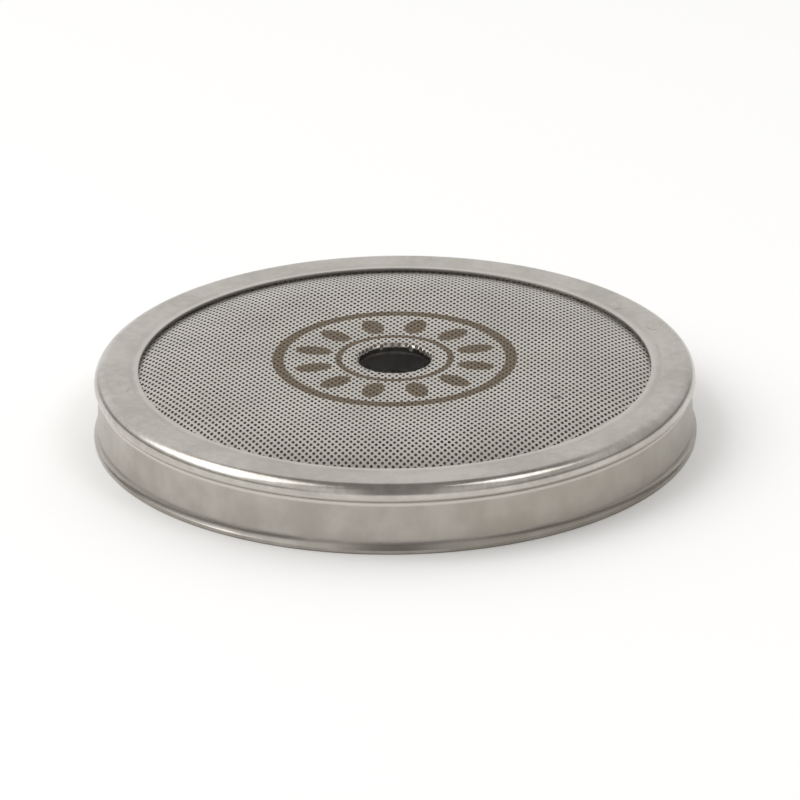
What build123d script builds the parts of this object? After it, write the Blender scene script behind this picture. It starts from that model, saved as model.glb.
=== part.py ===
from build123d import *
from math import cos, sin, tan, radians, hypot
import os

# Espresso shower screen: a thin disc of fine-perforated foil over a coarse-perforated
# backing plate, pressed together into a low crown and held in a ring of formed sheet.
# Millimetres, +Z up. The origin is the centre of the ring's foot, on the plane it rests on.

# Ring, formed from one strip of sheet
outside_diameter = 57.0     # over the edge of the flared foot
ring_height = 6.6           # from the foot to the flat on top
rim_sheet = 0.4             # thickness of the ring's sheet
bead_inset = 0.15           # the bead under the top corner stands this far inside the foot's edge
flat_width = 4.2            # from the side of the bead to the edge of the round window
corner_radius = 1.1         # outer radius of the top corner
neck_depth = 0.38           # how far the wall is rolled in below the bead
shoulder_angle = 38.0       # slope of the shoulder that carries the discs, from upright
bead_bend_radius = 0.7      # outer radius where the bead turns into the shoulder
neck_bend_radius = 0.4      # outer radius where the shoulder turns into the wall
foot_flare = 0.3            # how far the foot's edge stands out from the wall
flare_angle = 55.0          # slope of the flare at the foot's edge, from upright
flare_radius = 0.8          # outer radius of the sweep from the wall into the flare
lip_height = 0.35           # height of the trimmed edge of the foot

# Discs, clamped at their edges between the flat of the ring and its shoulder
foil_thickness = 0.3        # the fine-perforated screen
plate_thickness = 0.8       # the coarse-perforated backing plate
foil_edge_gap = 0.75        # from the inside of the bead to the edge of the screen
plate_edge_gap = 0.25       # from the inside of the bead to the edge of the backing plate
seat_gap = 0.03             # from the backing plate's lower edge to the shoulder

# Crown that both discs are pressed into, measured on top of the screen
crown_rise = 1.0            # height of the level middle over the clamped edge
crown_slope = 15.5          # steepest slope of the crown's border, from level
crown_bend_radius = 26.0    # bend from the level middle into the border
crown_foot_radius = 1.0     # bend from the border into the clamped edge
crown_straight = 0.05       # least straight run of the border between its two bends
crown_inset = 0.15          # from the window's edge to the foot of the border

# Screw hole, with the screen's edge turned down through the hole of the plate
bore_diameter = 6.8
collar_bend_radius = 0.35   # bend from the level middle into the collar, on the screen's top
collar_depth = 0.75         # from the level middle to the collar's lower edge

# Coarse holes of the backing plate, on a square grid about the screw hole
coarse_diameter = 1.9
coarse_pitch = 3.95
coarse_turn = 50.0          # angle of the grid's rows to +X
window_land = 3.1           # plain border of the plate from its holes to the window's edge
bore_land = 0.3             # least distance from a hole to the plate's screw hole

# Levels and radii that follow
outside_radius = outside_diameter / 2
bead_radius = outside_radius - bead_inset
window_radius = bead_radius - flat_width
seat_radius = bead_radius - rim_sheet
foil_radius = seat_radius - foil_edge_gap
plate_radius = seat_radius - plate_edge_gap
foil_edge_top = ring_height - rim_sheet
crown_top = foil_edge_top + crown_rise
bore_radius = bore_diameter / 2
plate_bore_radius = bore_radius + collar_bend_radius


def ring_outline():
    """Corners of the ring's outer face from the window's edge to past the foot, and their radii.

    The shoulder's inner face passes just outside the backing plate's lower edge, and its
    outer face is one sheet thickness further out.
    """
    slope = radians(shoulder_angle)
    flare = radians(flare_angle)
    plate_edge_bottom = foil_edge_top - foil_thickness - plate_thickness
    seat_r = plate_radius + seat_gap + rim_sheet * cos(slope)
    seat_z = plate_edge_bottom - rim_sheet * sin(slope)
    neck_r = bead_radius - neck_depth
    wall_r = outside_radius - foot_flare
    overrun = 2 * rim_sheet
    corners = [
        (window_radius, ring_height),
        (bead_radius, ring_height),
        (bead_radius, seat_z + (bead_radius - seat_r) / tan(slope)),
        (neck_r, seat_z - (seat_r - neck_r) / tan(slope)),
        (wall_r, lip_height + foot_flare / tan(flare)),
        (outside_radius + overrun, lip_height - overrun / tan(flare)),
    ]
    bends = [corner_radius, bead_bend_radius, neck_bend_radius, flare_radius]
    return corners, bends


def make_ring():
    """The formed ring: flat, rounded corner, bead, neck, conical wall and flared foot."""
    corners, bends = ring_outline()
    outer_face = FilletPolyline(*corners, radius=bends)
    strip = make_face(offset(outer_face, amount=rim_sheet, side=Side.RIGHT, closed=True))
    trim = Rectangle(outside_radius, ring_height, align=(Align.MIN, Align.MIN))
    return revolve(Plane.XZ * (strip & trim), axis=Axis.Z)


def crown_outline(edge_radius, depth):
    """Corners and bends of the crowned line that lies a given depth under the screen's top.

    It runs from the disc's edge along the clamped land, up the border and on to the level
    middle. Its corners move in with depth, so that the lines stay parallel. On a border too
    short for both bends, the upper one is as wide as the border leaves room for.
    """
    slope = radians(crown_slope)
    shift = depth * tan(slope / 2)
    bend_room = (crown_rise / sin(slope) - crown_straight) / tan(slope / 2)
    upper_bend = min(crown_bend_radius, bend_room - crown_foot_radius)
    border_foot = window_radius - crown_inset
    border_head = border_foot - crown_rise / tan(slope)
    corners = [
        (edge_radius, foil_edge_top - depth),
        (border_foot - shift, foil_edge_top - depth),
        (border_head - shift, crown_top - depth),
    ]
    bends = [crown_foot_radius + depth, upper_bend - depth]
    return corners, bends


def sheet_between(upper, lower):
    """Face between two open lines that run the same way."""
    ends = [Line(upper @ place, lower @ place) for place in (0, 1)]
    return make_face(upper.edges() + lower.edges() + ends)


def screen_line(depth):
    """The screen's section line at a depth under its top, from its edge to inside the collar."""
    corners, bends = crown_outline(foil_radius, depth)
    collar_radius = bore_radius + depth
    corners += [(collar_radius, crown_top - depth), (collar_radius, crown_top - collar_depth)]
    return FilletPolyline(*corners, radius=bends + [collar_bend_radius - depth])


def make_fine_screen():
    """The foil on top, with its collar in the screw hole. Its holes are too fine to cut here."""
    section = sheet_between(screen_line(0), screen_line(foil_thickness))
    return revolve(Plane.XZ * section, axis=Axis.Z)


def coarse_hole_places():
    """Grid nodes whose holes clear the plate's screw hole and leave its border plain."""
    nearest = plate_bore_radius + bore_land + coarse_diameter / 2
    furthest = window_radius - window_land - coarse_diameter / 2
    count = 2 * int(window_radius / coarse_pitch) + 1
    grid = Rot(Z=coarse_turn) * GridLocations(coarse_pitch, coarse_pitch, count, count)
    return [
        place for place in grid
        if nearest <= hypot(place.position.X, place.position.Y) <= furthest
    ]


def plate_line(depth):
    """The backing plate's section line at a depth under the screen's top."""
    corners, bends = crown_outline(plate_radius, depth)
    corners.append((plate_bore_radius, crown_top - depth))
    return FilletPolyline(*corners, radius=bends)


def make_backing_plate():
    """The stiff plate under the foil, with round holes that pass the water on to it."""
    section = sheet_between(plate_line(foil_thickness), plate_line(foil_thickness + plate_thickness))
    disc = revolve(Plane.XZ * section, axis=Axis.Z)
    punch = extrude(Circle(coarse_diameter / 2), crown_top)
    return disc - [place * punch for place in coarse_hole_places()]


os.makedirs("parts", exist_ok=True)
export_step(make_ring(), "parts/rim_ring.step")
export_step(make_fine_screen(), "parts/fine_screen.step")
export_step(make_backing_plate(), "parts/backing_plate.step")
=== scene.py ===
from math import cos, pi, radians, sin, tan

import bpy
import numpy as np
from mathutils import Matrix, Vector
from mathutils.geometry import delaunay_2d_cdt


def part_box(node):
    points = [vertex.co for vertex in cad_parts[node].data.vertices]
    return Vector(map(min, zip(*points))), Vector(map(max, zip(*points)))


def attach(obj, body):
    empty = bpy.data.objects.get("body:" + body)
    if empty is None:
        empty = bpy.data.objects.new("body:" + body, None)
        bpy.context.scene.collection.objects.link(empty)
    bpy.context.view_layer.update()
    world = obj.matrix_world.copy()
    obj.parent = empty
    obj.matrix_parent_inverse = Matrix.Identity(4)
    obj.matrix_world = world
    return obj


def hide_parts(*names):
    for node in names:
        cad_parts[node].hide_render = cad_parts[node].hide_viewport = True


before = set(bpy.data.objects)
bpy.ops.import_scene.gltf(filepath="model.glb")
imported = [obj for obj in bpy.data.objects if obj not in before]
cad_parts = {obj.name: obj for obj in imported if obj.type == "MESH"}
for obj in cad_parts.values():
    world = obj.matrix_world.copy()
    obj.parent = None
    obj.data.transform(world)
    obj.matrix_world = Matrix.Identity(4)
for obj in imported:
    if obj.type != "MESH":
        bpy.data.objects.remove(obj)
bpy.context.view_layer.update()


# Ring. One strip of stainless sheet, pressed so that it makes the flat round the window, the
# rounded corner, the bead and neck that clamp the two discs, the wall and the flared foot.
# The corner is burnished where the sheet was drawn over the die, and the rest is satin.

MM = 0.001
ring_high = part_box("rim_ring")[1]
FOOT_RADIUS = ring_high.x / MM
RING_TOP = ring_high.z / MM
SHEET = 0.4
BEAD_INSET = 0.15
FLAT_WIDTH = 4.2
NECK_DEPTH = 0.38
FOOT_FLARE = 0.3
BEAD_RADIUS = FOOT_RADIUS - BEAD_INSET
WINDOW_RADIUS = BEAD_RADIUS - FLAT_WIDTH
NECK_RADIUS = BEAD_RADIUS - NECK_DEPTH
WALL_RADIUS = FOOT_RADIUS - FOOT_FLARE
BEAD_FOOT_HEIGHT = 5.244
NECK_HEIGHT = 4.758
FLARE_HEIGHT = 0.82
FLARE_ANGLE = radians(33)
CORNER_BEND = 1.1
BEAD_BEND = 0.7
NECK_BEND = 0.88
FLARE_BEND = 1.9
EDGE_BREAK = 0.05
WINDOW_BREAK = 0.1
WINDOW_UNDER_BREAK = 0.03
RING_STEPS = 384


def rounded_line(corners, radii, arc_steps):
    """Points along a line through corners, each corner an arc of its own radius.

    An arc starts and ends at radius times the tangent of half the turn from its corner, and its
    points lie at that radius round its centre. A straight run gets points close to both ends.
    """
    corners = np.array(corners, float)
    step = np.diff(corners, axis=0)
    length = np.hypot(step[:, 0], step[:, 1])
    way = step / length[:, None]
    turn = np.arctan2(
        way[:-1, 0] * way[1:, 1] - way[:-1, 1] * way[1:, 0], (way[:-1] * way[1:]).sum(1))
    reach = np.abs(np.array(radii) * np.tan(turn / 2))
    cut = np.concatenate([[0], reach, [0]])
    share = np.concatenate([[0], np.linspace(0.06, 0.94, 4), [1]])
    points = []
    for i in range(len(step)):
        start = corners[i] + way[i] * cut[i]
        end = corners[i + 1] - way[i] * cut[i + 1]
        points.append(start + share[:, None] * (end - start))
        if i < len(radii):
            side = np.sign(turn[i]) * np.array([-way[i, 1], way[i, 0]])
            centre = end + side * radii[i]
            swing = turn[i] * np.linspace(0, 1, arc_steps)[1:-1]
            arm = end - centre
            points.append(centre + np.stack([
                arm[0] * np.cos(swing) - arm[1] * np.sin(swing),
                arm[0] * np.sin(swing) + arm[1] * np.cos(swing)], 1))
    return np.concatenate(points)


def normals_of(line):
    """Unit normals to the right of a line of points, from the steps before and after each."""
    along = np.gradient(line, axis=0)
    right = np.stack([along[:, 1], -along[:, 0]], 1)
    return right / np.hypot(right[:, 0], right[:, 1])[:, None]


def ring_section():
    """The closed section of the strip, as radius and height.

    The outer face runs from the window's edge to past the foot. The inner face is the same line
    set in by the sheet's thickness. The foot is cut level and its edge trimmed upright.
    """
    overrun = 4 * SHEET
    past_foot = (WALL_RADIUS + overrun * sin(FLARE_ANGLE),
                 FLARE_HEIGHT - overrun * cos(FLARE_ANGLE))
    line = rounded_line(
        [(WINDOW_RADIUS + WINDOW_BREAK, RING_TOP), (BEAD_RADIUS, RING_TOP),
         (BEAD_RADIUS, BEAD_FOOT_HEIGHT), (NECK_RADIUS, NECK_HEIGHT),
         (WALL_RADIUS, FLARE_HEIGHT), past_foot],
        [CORNER_BEND, BEAD_BEND, NECK_BEND, FLARE_BEND], arc_steps=14)
    inner = line + SHEET * normals_of(line)
    inner = inner[inner[:, 1] > 0][::-1]
    in_flare = line[line[:, 1] < FLARE_HEIGHT]
    lip_height = np.interp(FOOT_RADIUS, in_flare[:, 0], in_flare[:, 1])
    outer = line[(line[:, 0] < FOOT_RADIUS) & (line[:, 1] > lip_height)]
    lip = rounded_line(
        [(FOOT_RADIUS, lip_height), (FOOT_RADIUS, 0), (inner[0, 0], 0)], [EDGE_BREAK],
        arc_steps=5)
    window = rounded_line(
        [(WINDOW_RADIUS + EDGE_BREAK, RING_TOP - SHEET), (WINDOW_RADIUS, RING_TOP - SHEET),
         (WINDOW_RADIUS, RING_TOP), (WINDOW_RADIUS + WINDOW_BREAK, RING_TOP)],
        [WINDOW_UNDER_BREAK, WINDOW_BREAK], arc_steps=7)
    return np.concatenate([outer, lip, inner[1:], window[1:-1]])


def placed(name, data):
    """A new object in the scene that shows a mesh, a lamp or a camera."""
    made = bpy.data.objects.new(name, data)
    bpy.context.scene.collection.objects.link(made)
    return made


def turned(name, section, steps):
    """A closed section turned about the Z axis: each point goes to radius times the cosine and
    sine of the angle, and the last turn joins the first."""
    angle = np.linspace(0, 2 * pi, steps, endpoint=False)
    radius, height = section[:, 0], section[:, 1]
    points = np.stack([
        np.outer(np.cos(angle), radius), np.outer(np.sin(angle), radius),
        np.broadcast_to(height, (steps, len(height)))], -1).reshape(-1, 3) * MM
    count = len(section)
    i, j = np.meshgrid(np.arange(steps), np.arange(count), indexing="ij")
    i_next, j_next = (i + 1) % steps, (j + 1) % count
    quads = np.stack(
        [i * count + j, i * count + j_next, i_next * count + j_next, i_next * count + j],
        -1).reshape(-1, 4)
    mesh = bpy.data.meshes.new(name)
    mesh.from_pydata(points.tolist(), [], quads.tolist())
    mesh.shade_smooth()
    mesh.update()
    return placed(name, mesh)


class Value:
    """A shader value. Python's operators on it add the Math nodes that work them out."""

    def __init__(self, graph, socket):
        self.graph = graph
        self.socket = socket

    def math(self, operation, *others):
        """The Math node of an operation, with this value first."""
        return self.graph.node(
            "ShaderNodeMath", {"operation": operation}, dict(enumerate((self, *others))))

    def __add__(self, other):
        return self.math("ADD", other)

    def __sub__(self, other):
        return self.math("SUBTRACT", other)

    def __mul__(self, other):
        return self.math("MULTIPLY", other)

    def __truediv__(self, other):
        return self.math("DIVIDE", other)

    def __rsub__(self, other):
        return self * -1 + other

    __radd__ = __add__
    __rmul__ = __mul__


class Graph:
    """The node tree of one material or of the world, built by expressions on Values."""

    def __init__(self, tree):
        self.tree = tree

    def node(self, kind, settings={}, inputs={}, output=0):
        """Adds a node: its settings first, then a value or a link for each named socket."""
        made = self.tree.nodes.new(kind)
        for key, value in settings.items():
            setattr(made, key, value)
        for key, value in inputs.items():
            self.feed(made.inputs[key], value)
        return Value(self, made.outputs[output])

    def feed(self, socket, value):
        """Links a Value to a socket, or sets the socket to a constant."""
        if isinstance(value, Value):
            self.tree.links.new(value.socket, socket)
        else:
            socket.default_value = value

    def step(self, value, low, high):
        """0 below low, 1 above high, and a smooth rise between."""
        return self.node(
            "ShaderNodeMapRange", {"interpolation_type": "SMOOTHSTEP"},
            {"Value": value, "From Min": low, "From Max": high})

    def band(self, value, middle, half_width, soft):
        """1 within half_width of middle and 0 past it, with an edge of width soft."""
        away = (value - middle).math("ABSOLUTE")
        return 1 - self.step(away, half_width - soft / 2, half_width + soft / 2)

    def mix(self, factor, first, second):
        """A colour between first and second."""
        return self.node(
            "ShaderNodeMix", {"data_type": "RGBA"}, {0: factor, 6: first, 7: second}, output=2)

    def noise(self, vector, scale, detail=2.0, roughness=0.5):
        """Noise about 0.5. A larger scale makes it finer, more detail adds finer layers, and
        roughness says how strong they are."""
        return self.node("ShaderNodeTexNoise", {}, {
            "Vector": vector, "Scale": scale, "Detail": detail, "Roughness": roughness})

    def axes(self, vector):
        """The X, Y and Z of a vector."""
        return [self.node("ShaderNodeSeparateXYZ", {}, {0: vector}, output=k) for k in range(3)]

    def stretched(self, vector, scale):
        """The place scaled along each axis, so that a pattern read from it is drawn out."""
        return self.node("ShaderNodeMapping", {}, {"Vector": vector, "Scale": scale})


def metal(name):
    """A new metal material, its graph, its shader and the place in Object coordinates, in
    millimetres."""
    material = bpy.data.materials.new(name)
    material.use_nodes = True
    graph = Graph(material.node_tree)
    shader = material.node_tree.nodes["Principled BSDF"]
    shader.inputs["Metallic"].default_value = 1.0
    coordinates = graph.node("ShaderNodeTexCoord", output=3)
    place = graph.node(
        "ShaderNodeVectorMath", {"operation": "SCALE"}, {0: coordinates, "Scale": 1 / MM})
    return material, graph, shader, place


def round_the_axis(graph, place):
    """X, Y, Z and the distance from the Z axis."""
    x, y, z = graph.axes(place)
    return x, y, z, (x * x + y * y).math("SQRT")


def smudge(graph, x, y, centre, turn, half_length, half_width):
    """1 inside an ellipse round a centre and 0 outside, with a soft edge. Its long axis lies at
    turn degrees from +X."""
    along_x, along_y = cos(radians(turn)), sin(radians(turn))
    across, up = x - centre[0], y - centre[1]
    along = (across * along_x + up * along_y) / half_length
    aside = (up * along_x - across * along_y) / half_width
    return 1 - graph.step(along * along + aside * aside, 0.4, 1.2)


def ring_steel():
    """Satin stainless, warm grey, clouded by handling.

    The drawn wall is blotched, with faint upright marks, and darker and more brown to the right:
    a brown tint, with painted shade from the lamp on the left. The bent corner and the foot are
    burnished, and the bead is a little paler. A band at the neck is a painted highlight, paler,
    that lifts a dark reflection there. The window's edge is painted lighter as a highlight, with
    a worn circle round it and a few nicks. Its cut side is raw, and painted darker towards its
    foot as shade where it meets the foil. A painted dark reflection runs round above the foot,
    and a painted contact shadow darkens its bottom edge.
    """
    material, graph, shader, place = metal("ring_steel")
    x, y, z, radius = round_the_axis(graph, place)

    # Patterns, from the coarsest to the finest, and two that are drawn out.
    clouds = graph.noise(place, 0.14, 4.0, 0.6)
    patches = graph.noise(place, 0.9, 4.0, 0.65)
    grain = graph.noise(place, 9.0, 3.0, 0.6)
    streaks = graph.noise(graph.stretched(place, (3.2, 3.2, 0.12)), 1.0, 3.0, 0.65)
    blotches = graph.noise(graph.stretched(place, (0.28, 0.28, 0.3)), 1.0, 4.0, 0.55)

    # Masks, each 1 on its part of the ring, from heights over the foot and from radii in mm.
    on_top = graph.step(z, RING_TOP - 0.15, RING_TOP - 0.05)
    on_corner = (graph.step(radius, BEAD_RADIUS - CORNER_BEND, BEAD_RADIUS - 0.75)
                 * graph.step(z, 4.75, 4.95))
    on_bead = graph.step(z, 4.5, 4.8) * (1 - graph.step(z, 5.25, 5.5))
    # A band round the neck, painted paler: a painted highlight that lifts a dark reflection
    # there.
    painted_neck_highlight = graph.band(z, 4.84, 0.30, 0.2)
    on_foot = 1 - graph.step(z, 1.0, 1.3)
    # The foot's bottom edge, painted dark as contact shadow.
    painted_contact_shadow = 1 - graph.step(z, 0.05, 0.16)
    on_wall = (1 - graph.step(z, 4.6, 4.85)) * graph.step(radius, NECK_RADIUS - 0.1, NECK_RADIUS)
    on_cut = 1 - graph.step(radius, WINDOW_RADIUS + 0.02, WINDOW_RADIUS + 0.08)
    # A band along the window's edge, painted lighter as a highlight.
    painted_edge_highlight = on_top * (1 - graph.step(radius, WINDOW_RADIUS + 0.35, WINDOW_RADIUS + 0.6))
    worn_radius = WINDOW_RADIUS + 0.85 + (clouds - 0.5) * 0.8
    worn_circle = (on_top * graph.band(radius, worn_radius, 0.16, 0.25)
                   * graph.step(patches, 0.42, 0.62))
    nicks = on_top * (
        smudge(graph, x, y, (24.35, 7.98), turn=-50, half_length=0.42, half_width=0.07)
        + smudge(graph, x, y, (24.92, 7.64), turn=20, half_length=0.40, half_width=0.07)
        + smudge(graph, x, y, (21.6, 12.93), turn=30, half_length=0.55, half_width=0.28) * 0.45
        + smudge(graph, x, y, (-24.9, -5.5), turn=75, half_length=0.55, half_width=0.14) * 0.5)
    # A line round above the foot, painted dark as a reflection of the shaded floor and room,
    # broken by the blotches.
    painted_dark_reflection = graph.band(z, 1.0, 0.16, 0.42) * on_wall * graph.step(blotches, 0, 0.7)
    # The wall to the right, painted darker as shade from the lamp on the left, and tinted brown.
    painted_right_shade_and_tint = graph.step(x, -14, 18) * on_wall

    # Colours, each laid over the ones before it.
    flat_shade = graph.step(clouds * 0.5 + patches * 0.35 + grain * 0.15, 0.38, 0.62)
    wall_shade = graph.step(
        clouds * 0.3 + blotches * 0.55 + streaks * 0.07 + grain * 0.08, 0.34, 0.66)
    flat_colour = graph.mix(flat_shade, (0.44, 0.415, 0.376, 1), (0.58, 0.55, 0.505, 1))
    wall_colour = graph.mix(wall_shade, (0.375, 0.349, 0.312, 1), (0.475, 0.448, 0.407, 1))
    # The raw cut side, painted darker towards its foot as shade where it meets the foil.
    raw_cut_and_painted_shade = graph.mix(
        graph.step(z, RING_TOP - 0.3, RING_TOP - 0.08), (0.14, 0.132, 0.122, 1),
        (0.36, 0.342, 0.315, 1))
    colour = graph.mix(on_wall, flat_colour, wall_colour)
    colour = graph.mix(painted_right_shade_and_tint * 0.3, colour, (0.29, 0.262, 0.215, 1))
    colour = graph.mix(painted_edge_highlight * 0.5, colour, (0.66, 0.63, 0.575, 1))
    colour = graph.mix(worn_circle * 0.35, colour, (0.33, 0.31, 0.28, 1))
    colour = graph.mix(nicks * 0.7, colour, (0.22, 0.205, 0.185, 1))
    colour = graph.mix(on_bead, colour, (0.59, 0.56, 0.515, 1))
    colour = graph.mix(painted_neck_highlight * 0.4, colour, (0.82, 0.78, 0.72, 1))
    colour = graph.mix(painted_dark_reflection * 0.75, colour, (0.11, 0.1, 0.092, 1))
    colour = graph.mix(painted_contact_shadow * 0.6, colour, (0.17, 0.135, 0.10, 1))
    colour = graph.mix(on_cut, colour, raw_cut_and_painted_shade)
    graph.feed(shader.inputs["Base Color"], colour)

    # Polish and relief.
    burnished = (on_corner + on_foot).math("MINIMUM", 1.0)
    rough = 0.32 + (clouds - 0.5) * 0.16 + (patches - 0.5) * 0.10 + on_cut * 0.2
    graph.feed(shader.inputs["Roughness"], rough * (1 - burnished) + burnished * 0.23)
    height = (grain * 0.3 + patches * 0.9 + clouds * 1.5 + nicks * -1.5
              + (streaks * 0.5 + blotches * 1.4) * on_wall)
    graph.feed(shader.inputs["Normal"], graph.node("ShaderNodeBump", {}, {
        "Strength": 0.3, "Distance": 0.00003, "Height": height}))
    return material


ring = turned("ring", ring_section(), RING_STEPS)
ring.data.materials.append(ring_steel())
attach(ring, "root")
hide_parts("rim_ring")


# Fine screen. A disc of thin stainless foil, pierced all over with small oblong holes in
# staggered rows, pressed into a low crown with the plate under it, its middle turned down
# through the plate as a collar for the screw. The ring's flat covers its edge.

foil_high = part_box("fine_screen")[1]
FOIL_RADIUS = foil_high.x / MM
FOIL_TOP = foil_high.z / MM
EDGE_TOP = RING_TOP - SHEET
FOIL_THICKNESS = 0.3
CROWN_INSET = 0.15
BORDER_FOOT = WINDOW_RADIUS - CROWN_INSET
BORDER_SLOPE = radians(15.5)
UPPER_BEND = 26.0
FOOT_BEND = 1.0
BORE_RADIUS = 3.4
COLLAR_BEND = 0.35
COLLAR_DEPTH = 0.75
BEND_START = BORE_RADIUS + COLLAR_BEND
BLANK_RADIUS = BEND_START - COLLAR_BEND * pi / 2 - (COLLAR_DEPTH - COLLAR_BEND)
ROW_PITCH = 0.663
ROW_GAP = 0.488
ROW_TURN = radians(-4.66)
ROW_LEAN = -0.0208
FIRST_HOLE = (0.0, 0.1)
HOLE_HALF_WIDTH = 0.15
HOLE_HALF_LENGTH = 0.235
HOLE_CORNERS = 1.1
HOLE_CLEARANCE = 1.2 * HOLE_HALF_LENGTH
COLLAR_HOLES = 1.35
COLLAR_HOLES_REACH = 0.3
COLLAR_HOLES_FADE = 0.5
HOLES_UNDER_FLAT = 0.35
HOLES_TO = WINDOW_RADIUS + HOLES_UNDER_FLAT
BORE_SIDES = 64
BEND_SIDES = 72
BEND_STEPS = 4
EDGE_SIDES = 240


def crown_height(radius):
    """Height of the foil's top: level, then an arc down to the border's slope, then the slope,
    which an arc the other way brings level again at the clamped edge."""
    rise = FOIL_TOP - EDGE_TOP
    half_turn = tan(BORDER_SLOPE / 2)
    head = BORDER_FOOT - rise / tan(BORDER_SLOPE) - UPPER_BEND * half_turn
    arc_end = UPPER_BEND * sin(BORDER_SLOPE)
    past = np.clip(radius - head, 0, arc_end)
    upper = FOIL_TOP - UPPER_BEND + np.sqrt(UPPER_BEND ** 2 - past ** 2)
    short = np.clip(BORDER_FOOT + FOOT_BEND * half_turn - radius, 0, None)
    near = np.minimum(short, FOOT_BEND * sin(BORDER_SLOPE))
    lower = EDGE_TOP + FOOT_BEND - np.sqrt(FOOT_BEND ** 2 - near ** 2)
    return np.where(radius < head + arc_end, upper, lower + (short - near) * tan(BORDER_SLOPE))


def foil_line(blank_radius):
    """Radius and height on the foil's top, for a distance from the axis on the flat blank.

    Outside the collar the distance stays. Inside, the blank's length runs round the bend and
    then straight down the collar.
    """
    along = np.clip(BEND_START - blank_radius, 0, None)
    turn = np.minimum(along / COLLAR_BEND, pi / 2)
    down = along - COLLAR_BEND * turn
    radius = np.maximum(blank_radius, BEND_START) - COLLAR_BEND * np.sin(turn)
    return np.stack([radius, crown_height(radius) - COLLAR_BEND * (1 - np.cos(turn)) - down], 1)


def hole_centres():
    """Nodes of the staggered grid: along the rows by the pitch, from row to row by the gap, half
    a pitch and a slight lean, all turned. Those from the collar's edge to just under the ring's
    flat are kept."""
    reach = int(HOLES_TO / ROW_GAP) + 2
    row, column = np.meshgrid(np.arange(-reach, reach + 1), np.arange(-reach, reach + 1))
    across = (column + 0.5 * (row % 2)) * ROW_PITCH + row * ROW_LEAN
    up = row * ROW_GAP
    x = FIRST_HOLE[0] + across * cos(ROW_TURN) - up * sin(ROW_TURN)
    y = FIRST_HOLE[1] + across * sin(ROW_TURN) + up * cos(ROW_TURN)
    radius = np.hypot(x, y)
    keep = (radius < HOLES_TO) & (radius > BLANK_RADIUS + HOLE_CLEARANCE * COLLAR_HOLES)
    return np.stack([x[keep], y[keep]], 1)


def circle(radius, sides):
    """Points of a circle, evenly spaced."""
    angle = np.arange(sides) * 2 * pi / sides
    return radius * np.stack([np.cos(angle), np.sin(angle)], 1)


def foil_blank():
    """Plan of the flat blank: points and triangles.

    It is a Delaunay triangulation of the hole outlines, the blank's two edges and the circles
    where it will be bent. Triangles that lie in a hole are left out. A hole is an ellipse drawn
    as a hexagon of about the same area, with its corners a little outside the ellipse, and it
    is wider where the collar stretches it.
    """
    centres = hole_centres()
    corner = radians(30) + np.arange(6) * pi / 3
    hexagon = HOLE_CORNERS * np.stack(
        [HOLE_HALF_WIDTH * np.cos(corner), HOLE_HALF_LENGTH * np.sin(corner)], 1)
    inside_reach = BEND_START + COLLAR_HOLES_REACH - np.hypot(centres[:, 0], centres[:, 1])
    size = 1 + (COLLAR_HOLES - 1) * np.clip(inside_reach / COLLAR_HOLES_FADE, 0, 1)
    outlines = (centres[:, None] + size[:, None, None] * hexagon).reshape(-1, 2)
    bore = circle(BLANK_RADIUS, BORE_SIDES)
    bend_lengths = COLLAR_BEND * pi / 2 * np.arange(BEND_STEPS + 1) / BEND_STEPS
    bends = [circle(BEND_START - length, BEND_SIDES) for length in bend_lengths]
    edges = [circle(HOLES_TO + HOLE_CLEARANCE, EDGE_SIDES), circle(FOIL_RADIUS, EDGE_SIDES)]
    points = np.concatenate([outlines, bore] + bends + edges)
    start = len(outlines) + len(bore)
    holes = np.arange(len(outlines)).reshape(-1, 6).tolist()
    holes.append(list(range(len(outlines), start)))
    loops = []
    for loop in bends + edges:
        first = start + np.arange(len(loop))
        loops.append(np.stack([first, np.roll(first, -1)], 1))
        start += len(loop)
    whole_hull, tolerance, with_origins = 0, 1e-6, True
    corners, _, faces, _, _, holes_round = delaunay_2d_cdt(
        points.tolist(), np.concatenate(loops).tolist(), holes, whole_hull, tolerance,
        with_origins)
    plan = np.array([tuple(point) for point in corners])
    kept = np.array([face for face, around in zip(faces, holes_round) if not around])

    # A triangle with a negative area runs clockwise and is reversed, so that all face upwards.
    a, b, c = (plan[kept[:, k]] for k in range(3))
    area = (b[:, 0] - a[:, 0]) * (c[:, 1] - a[:, 1]) - (b[:, 1] - a[:, 1]) * (c[:, 0] - a[:, 0])
    kept[area < 0] = kept[area < 0][:, ::-1]
    return plan, kept


def pressed_foil(name):
    """The blank laid on the foil's section line by its length, with its thickness set off along
    the line's normal. Each edge that has a triangle on one side only gets a wall."""
    plan, top = foil_blank()
    distance = np.hypot(plan[:, 0], plan[:, 1])
    line = foil_line(distance)
    nearby = 0.002
    along = foil_line(distance + nearby) - foil_line(distance - nearby)
    normal = np.stack([-along[:, 1], along[:, 0]], 1)
    normal /= np.hypot(normal[:, 0], normal[:, 1])[:, None]
    outward = plan / distance[:, None]
    faces = [line, line - FOIL_THICKNESS * normal]
    points = np.concatenate([
        np.column_stack([outward * face[:, :1], face[:, 1]]) for face in faces]) * MM
    count = len(plan)
    edge = np.concatenate([top[:, [0, 1]], top[:, [1, 2]], top[:, [2, 0]]])
    forward, backward = edge @ [count, 1], edge @ [1, count]
    rim = edge[~np.isin(forward, backward)]
    walls = np.stack([rim[:, 1], rim[:, 0], rim[:, 0] + count, rim[:, 1] + count], 1)
    mesh = bpy.data.meshes.new(name)
    mesh.from_pydata(
        points.tolist(), [], top.tolist() + (top[:, ::-1] + count).tolist() + walls.tolist())
    mesh.shade_smooth()
    mesh.set_sharp_from_angle(angle=radians(40))
    wall_slot = np.zeros(len(mesh.polygons), np.int32)
    wall_slot[2 * len(top):] = 1
    mesh.polygons.foreach_set("material_index", wall_slot)
    mesh.update()
    return placed(name, mesh)


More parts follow.
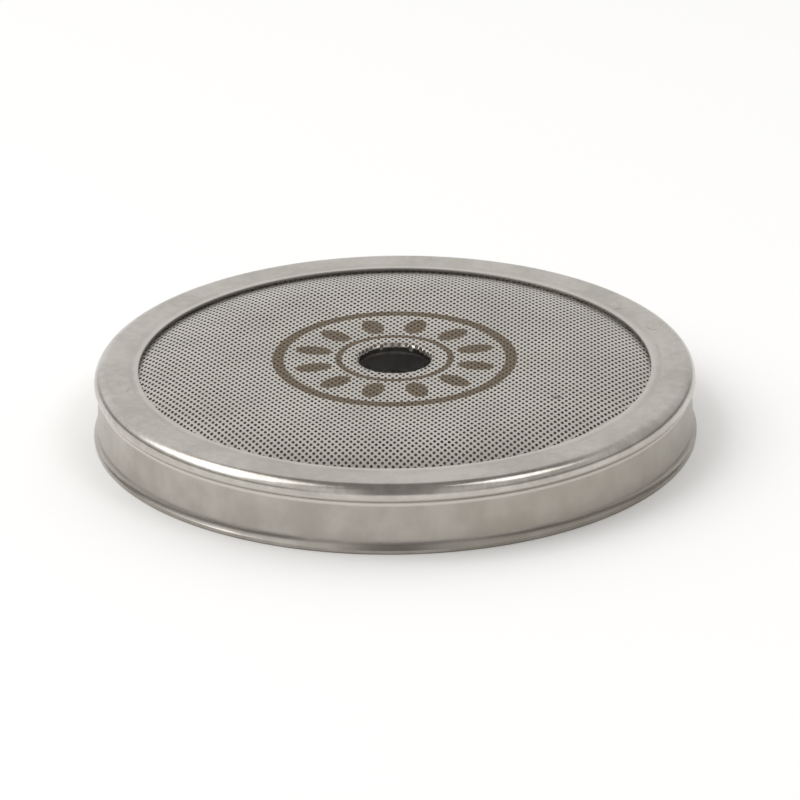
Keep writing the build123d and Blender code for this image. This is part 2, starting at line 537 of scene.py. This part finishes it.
def leaf_wreath(graph, x, y, radius):
    """1 where the brown ornament is etched: a plain ring outside, a fine ring inside, and twelve
    ellipses between them, each centred in its twelfth of a turn and 1 mm in half width."""
    leaves = 12
    leaf_radius, leaf_half_length = 7.9, 1.75
    outer_radius, outer_half_width = 11.0, 0.55
    inner_radius, inner_half_width = 5.3, 0.3
    soft = 0.1
    turn = y.math("ARCTAN2", x) * (leaves / (2 * pi))
    across = (turn.math("FRACT") - 0.5) * radius * (2 * pi / leaves)
    along = (radius - leaf_radius) / leaf_half_length
    leaf = 1 - graph.step(across * across + along * along, 0.86, 1.14)
    rings = (graph.band(radius, outer_radius, outer_half_width, soft)
             + graph.band(radius, inner_radius, inner_half_width, soft))
    return (leaf + rings).math("MINIMUM", 1.0)


def screen_steel():
    """Satin foil with the brown etched ornament, faint clouds, a fine grain and one dark spot.
    The turned-down collar is painted darker, as shade down in the bore."""
    material, graph, shader, place = metal("screen_steel")
    x, y, z, radius = round_the_axis(graph, place)
    clouds = graph.noise(place, 0.15, 3.0)
    grain = graph.noise(place, 7.0, 3.0, 0.6)
    steel = graph.mix(
        graph.step(clouds * 0.6 + grain * 0.4, 0.3, 0.7),
        (0.515, 0.487, 0.445, 1), (0.64, 0.607, 0.557, 1))
    brown = graph.mix(grain, (0.175, 0.132, 0.084, 1), (0.235, 0.178, 0.115, 1))
    etched = leaf_wreath(graph, x, y, radius)
    spot = smudge(graph, x, y, (15.0, -9.75), turn=20, half_length=0.55, half_width=0.38)
    # The turned-down collar, painted darker as shade down in the bore.
    collar = 1 - graph.step(z, FOIL_TOP - COLLAR_BEND, FOIL_TOP - COLLAR_BEND * 0.5)
    painted_collar_shade = collar * (1 - graph.step(radius, BEND_START, BEND_START + 0.2))
    colour = graph.mix(etched, steel, brown)
    colour = graph.mix(painted_collar_shade * 0.7, colour, (0.12, 0.11, 0.10, 1))
    colour = graph.mix(spot * 0.75, colour, (0.2, 0.19, 0.18, 1))
    graph.feed(shader.inputs["Base Color"], colour)
    graph.feed(shader.inputs["Roughness"], 0.32 + (grain - 0.5) * 0.1 + etched * 0.12)
    graph.feed(shader.inputs["Normal"], graph.node("ShaderNodeBump", {}, {
        "Strength": 0.3, "Distance": 0.00002, "Height": grain * 0.4 + clouds}))
    return material


def pierced_edge():
    """The raw sides of the holes: rougher than the foil's faces, with a finer grain."""
    material, graph, shader, place = metal("pierced_edge")
    grain = graph.noise(place, 11.0, 2.0)
    graph.feed(shader.inputs["Base Color"], graph.mix(
        grain, (0.52, 0.495, 0.457, 1), (0.64, 0.612, 0.57, 1)))
    graph.feed(shader.inputs["Roughness"], 0.42 + grain * 0.12)
    return material


foil = pressed_foil("foil")
foil.data.materials.append(screen_steel())
foil.data.materials.append(pierced_edge())
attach(foil, "root")
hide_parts("fine_screen")


# Backing plate. Stainless strip punched with large round holes and pressed into the crown
# together with the foil. It is duller than the foil, with the lines of the rolling mill.

def plate_steel():
    """Rolled strip: long fine lines one way, clouds, and a dull pale grey."""
    material, graph, shader, place = metal("plate_steel")
    lines = graph.noise(graph.stretched(place, (0.25, 5.0, 5.0)), 1.0, 4.0, 0.6)
    clouds = graph.noise(place, 0.2, 2.0)
    graph.feed(shader.inputs["Base Color"], graph.mix(
        graph.step(lines * 0.6 + clouds * 0.4, 0.3, 0.7),
        (0.54, 0.518, 0.487, 1), (0.66, 0.636, 0.603, 1)))
    graph.feed(shader.inputs["Roughness"], 0.36 + (lines - 0.5) * 0.16)
    graph.feed(shader.inputs["Normal"], graph.node("ShaderNodeBump", {}, {
        "Strength": 0.3, "Distance": 0.00002, "Height": lines}))
    return material


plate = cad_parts["backing_plate"]
plate_material = plate_steel()
for plate_slot in plate.material_slots:
    plate_slot.material = plate_material


# Floor and light. A matt pale sweep, under a large soft box high on the left and a smaller one
# on the right. The room round it is pale, but dark overhead, at the front where the photographer
# stands, and low down at both sides.

FLOOR_HALF = 3.0
FLOOR_GLOW = 0.4


def seen_directly(graph):
    """1 for what the camera sees, straight on or in metal or glass, and 0 for light that only
    falls on matt surfaces."""
    straight, mirrored, refracted = (
        graph.node("ShaderNodeLightPath", output=name)
        for name in ("Is Camera Ray", "Is Glossy Ray", "Is Transmission Ray"))
    return (straight + mirrored + refracted).math("MINIMUM", 1.0)


def floor_white():
    """Matt white, which away from the ring is seen partly as if it shone by itself, so that it
    stays white and still carries the shadow."""
    material = bpy.data.materials.new("floor_white")
    material.use_nodes = True
    material.node_tree.nodes.remove(material.node_tree.nodes["Principled BSDF"])
    graph = Graph(material.node_tree)
    lit = graph.node("ShaderNodeBsdfDiffuse", {}, {"Color": (0.95, 0.945, 0.935, 1)})
    white = graph.node("ShaderNodeEmission", {}, {"Color": (1, 1, 1, 1), "Strength": 1.0})
    coordinates = graph.node("ShaderNodeTexCoord", output=3)
    from_axis = graph.node(
        "ShaderNodeVectorMath", {"operation": "LENGTH"}, {0: coordinates}, output=1)
    clear_of_ring = graph.step(from_axis, FOOT_RADIUS * MM, FOOT_RADIUS * MM * 1.6)
    surface = graph.node("ShaderNodeMixShader", {}, {
        0: seen_directly(graph) * clear_of_ring * FLOOR_GLOW, 1: lit, 2: white})
    graph.feed(material.node_tree.nodes["Material Output"].inputs["Surface"], surface)
    return material


floor_mesh = bpy.data.meshes.new("floor")
floor_mesh.from_pydata(
    [(-FLOOR_HALF, -FLOOR_HALF, 0), (FLOOR_HALF, -FLOOR_HALF, 0),
     (FLOOR_HALF, FLOOR_HALF, 0), (-FLOOR_HALF, FLOOR_HALF, 0)], [], [(0, 1, 2, 3)])
floor = placed("floor", floor_mesh)
floor.data.materials.append(floor_white())

room = bpy.data.worlds.new("room")
room.use_nodes = True
bpy.context.scene.world = room
air = Graph(room.node_tree)
to_right, towards_back, height = air.axes(air.node("ShaderNodeTexCoord"))
to_side = to_right.math("ABSOLUTE")
dark_front = (air.step(towards_back * -1, 0.2, 0.6) * air.step(height, -0.02, 0.2)
              * (1 - air.step(to_side, 0.08, 0.44)))
dark_sides = air.step(to_side, 0.40, 0.70) * air.band(height, 0.12, 0.11, 0.12)
dark = air.step(height, 0.70, 0.88).math("MAXIMUM", dark_front).math("MAXIMUM", dark_sides)
walls = air.mix(air.step(to_right, -0.3, 0.9), (0.92, 0.92, 0.92, 1), (0.62, 0.61, 0.60, 1))
walls_and_ceiling = air.mix(dark, walls, (0.25, 0.242, 0.233, 1))
matt_light = air.mix(
    air.step(towards_back, -0.4, 0.7), (0.30, 0.298, 0.296, 1), (1.32, 1.31, 1.30, 1))
room_colour = air.mix(seen_directly(air), matt_light, walls_and_ceiling)
air.feed(room.node_tree.nodes["Background"].inputs["Color"], room_colour)


def soft_box(name, azimuth, elevation, distance, width, watts):
    """A square lamp that faces the origin from a distance, at an azimuth counted from +X and an
    elevation, both in degrees."""
    turn, rise = radians(azimuth), radians(elevation)
    away = np.array([cos(turn) * cos(rise), sin(turn) * cos(rise), sin(rise)])
    lamp = bpy.data.lights.new(name, "AREA")
    lamp.size = width
    lamp.energy = watts
    across = np.array([-sin(turn), cos(turn), 0.0])
    turned_to = np.column_stack([across, np.cross(away, across), away])
    facing_in = Matrix(turned_to.tolist()).to_4x4()
    placed(name, lamp).matrix_world = Matrix.Translation(away * distance) @ facing_in


soft_box("soft_box_left", azimuth=184, elevation=48, distance=0.50, width=0.40, watts=1.05)
soft_box("soft_box_right", azimuth=-22, elevation=58, distance=0.50, width=0.20, watts=0.3)


# Camera. A long lens from the front, raised about 24 degrees and pitched down onto the screen.
# It was fitted to the photograph's outlines, so it is a little turned and rolled.

IMAGE_WIDTH = 800
LENS_PIXELS = 5485.83
CAMERA_DISTANCE = 520.0
CAMERA_HEIGHT_ANGLE = radians(23.61)
YAW = radians(0.0555)
PITCH = radians(23.3185)
ROLL = radians(-0.6513)

camera_data = bpy.data.cameras.new("camera")
camera_data.sensor_width = 36.0
camera_data.lens = camera_data.sensor_width * LENS_PIXELS / IMAGE_WIDTH
forward = np.array([sin(YAW) * cos(PITCH), cos(YAW) * cos(PITCH), -sin(PITCH)])
level = np.array([cos(YAW), -sin(YAW), 0.0])
upward = np.cross(level, forward)
across_frame = cos(ROLL) * level + sin(ROLL) * upward
up_frame = cos(ROLL) * upward - sin(ROLL) * level
facing = Matrix(np.column_stack([across_frame, up_frame, -forward]).tolist()).to_4x4()
camera = placed("camera", camera_data)
camera.matrix_world = Matrix.Translation((
    0, -CAMERA_DISTANCE * cos(CAMERA_HEIGHT_ANGLE) * MM,
    CAMERA_DISTANCE * sin(CAMERA_HEIGHT_ANGLE) * MM)) @ facing
bpy.context.scene.camera = camera
bpy.context.scene.view_settings.view_transform = "Standard"
